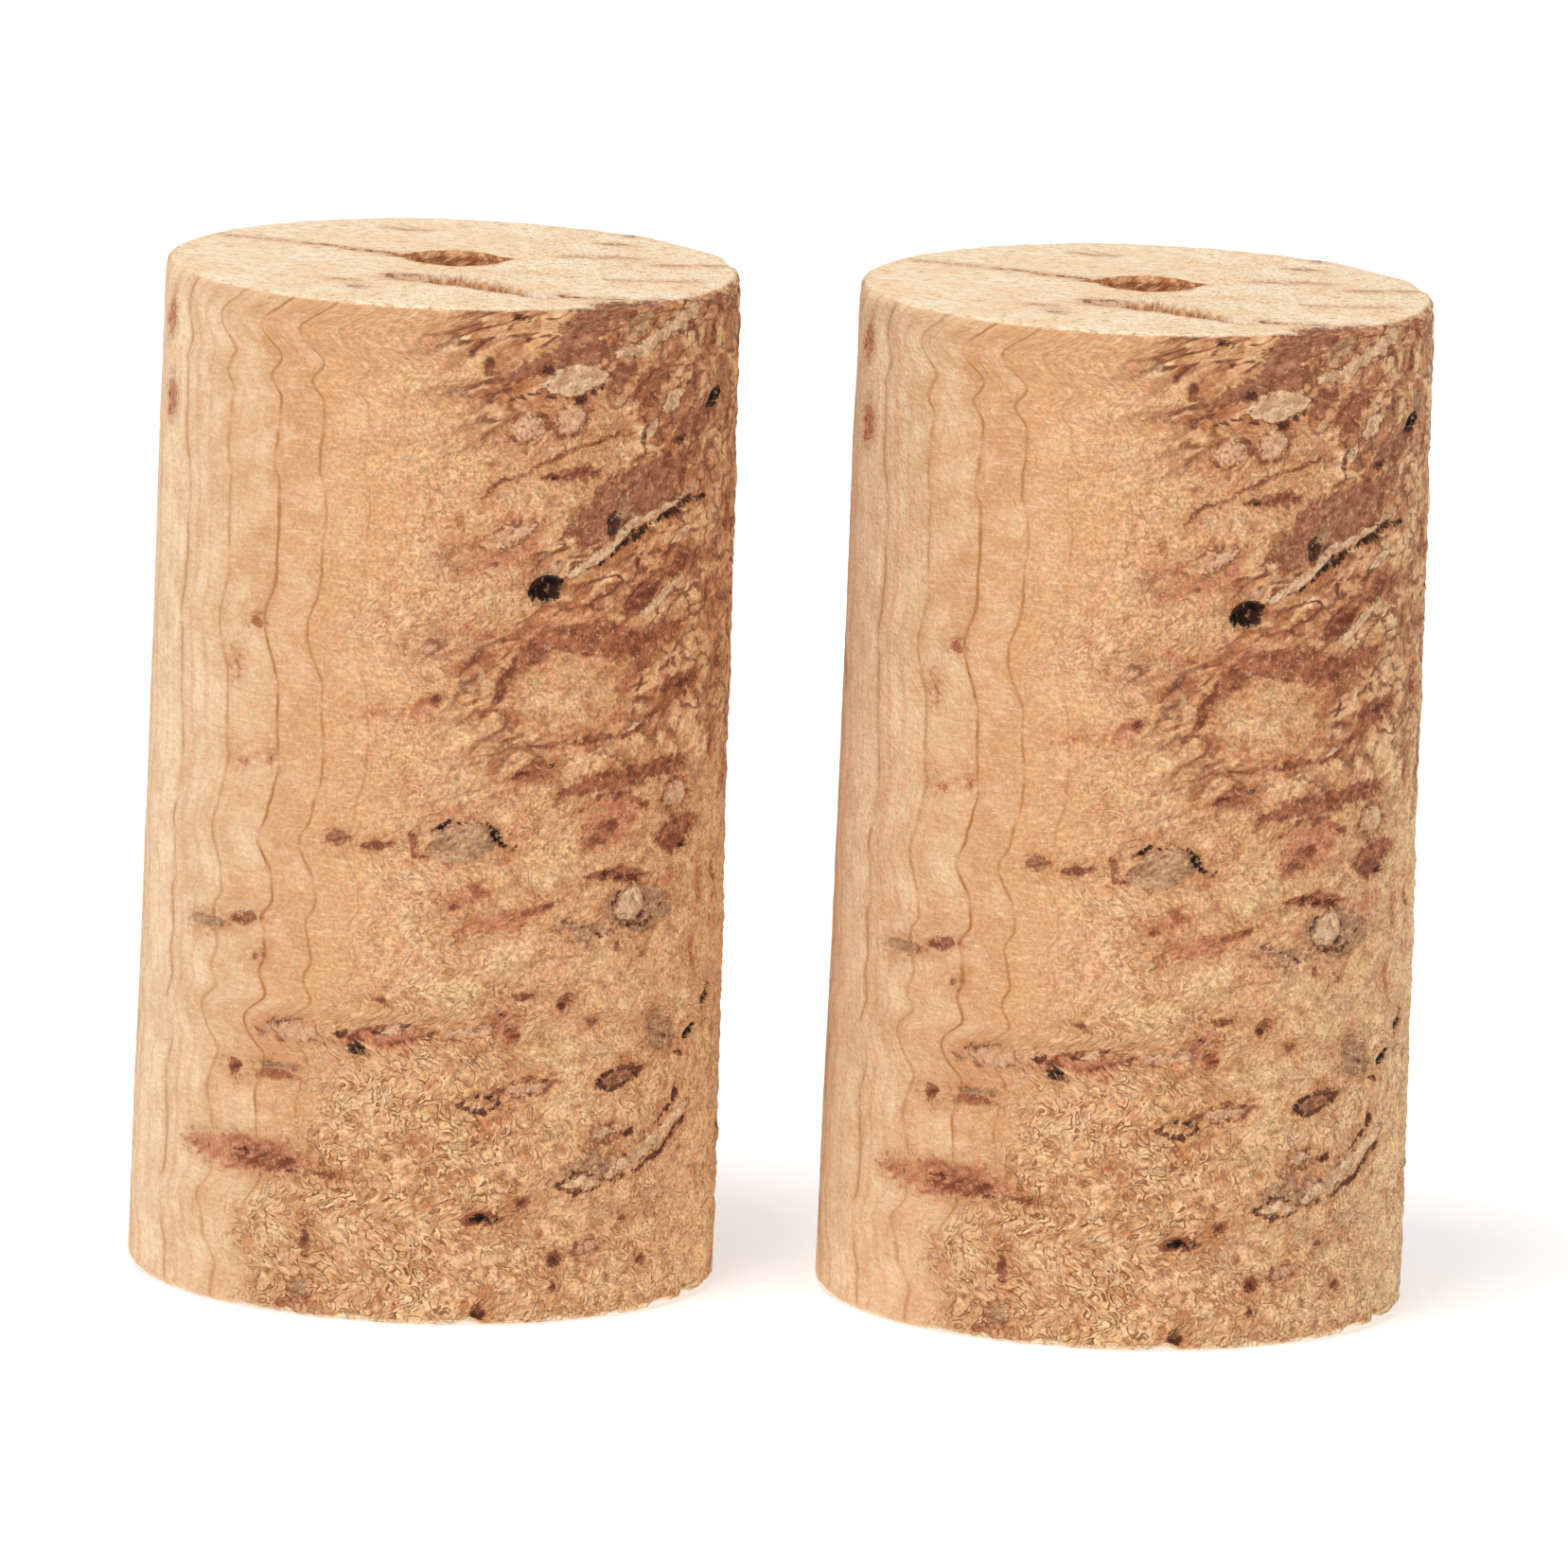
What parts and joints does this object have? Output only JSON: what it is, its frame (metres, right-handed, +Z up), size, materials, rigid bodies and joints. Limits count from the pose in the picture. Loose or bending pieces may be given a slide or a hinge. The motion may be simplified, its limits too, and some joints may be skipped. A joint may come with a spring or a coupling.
{
  "type": "salt and pepper shakers",
  "caption": "Matching natural-cork salt and pepper shakers: plain tapered cork cylinders with a pour hole on top and a push-in filling plug underneath.",
  "frame": {"origin": "on the table, midway between the two shakers' axes", "axes": "+X from the salt shaker to the pepper shaker, -Y towards the viewer, +Z up"},
  "size_m": [0.1002, 0.046, 0.08],
  "materials": {
    "cork": "natural cork, cut and sanded, unsealed; pale tan with brown and near-black pores",
    "liner_plastic": "natural polypropylene, satin, as moulded",
    "sifter_steel": "rolled stainless sheet, fine grain",
    "gasket_silicone": "food-grade silicone, matt",
    "plug_plastic": "natural polypropylene, satin, as moulded",
    "seal_silicone": "food-grade silicone, smooth satin"
  },
  "bodies": {
    "salt_shaker": {"salt_cork_body": "cork", "salt_liner": "liner_plastic", "salt_sifter": "sifter_steel", "salt_gasket": "gasket_silicone"},
    "salt_plug": {"salt_plug": "plug_plastic", "salt_plug_seal": "seal_silicone"},
    "pepper_shaker": {"pepper_cork_body": "cork", "pepper_liner": "liner_plastic", "pepper_sifter": "sifter_steel", "pepper_gasket": "gasket_silicone"},
    "pepper_plug": {"pepper_plug": "plug_plastic", "pepper_plug_seal": "seal_silicone"}
  },
  "joints": [
    {"name": "pepper_lift", "type": "slide", "parent": "salt_shaker", "child": "pepper_shaker", "axis": [0, 0, 1], "range_m": [0, 0.1]},
    {"name": "salt_plug_pull", "type": "slide", "parent": "salt_shaker", "child": "salt_plug", "axis": [0, 0, -1], "range_m": [0, 0.05]},
    {"name": "pepper_plug_pull", "type": "slide", "parent": "pepper_shaker", "child": "pepper_plug", "axis": [0, 0, -1], "range_m": [0, 0.05]}
  ]
}
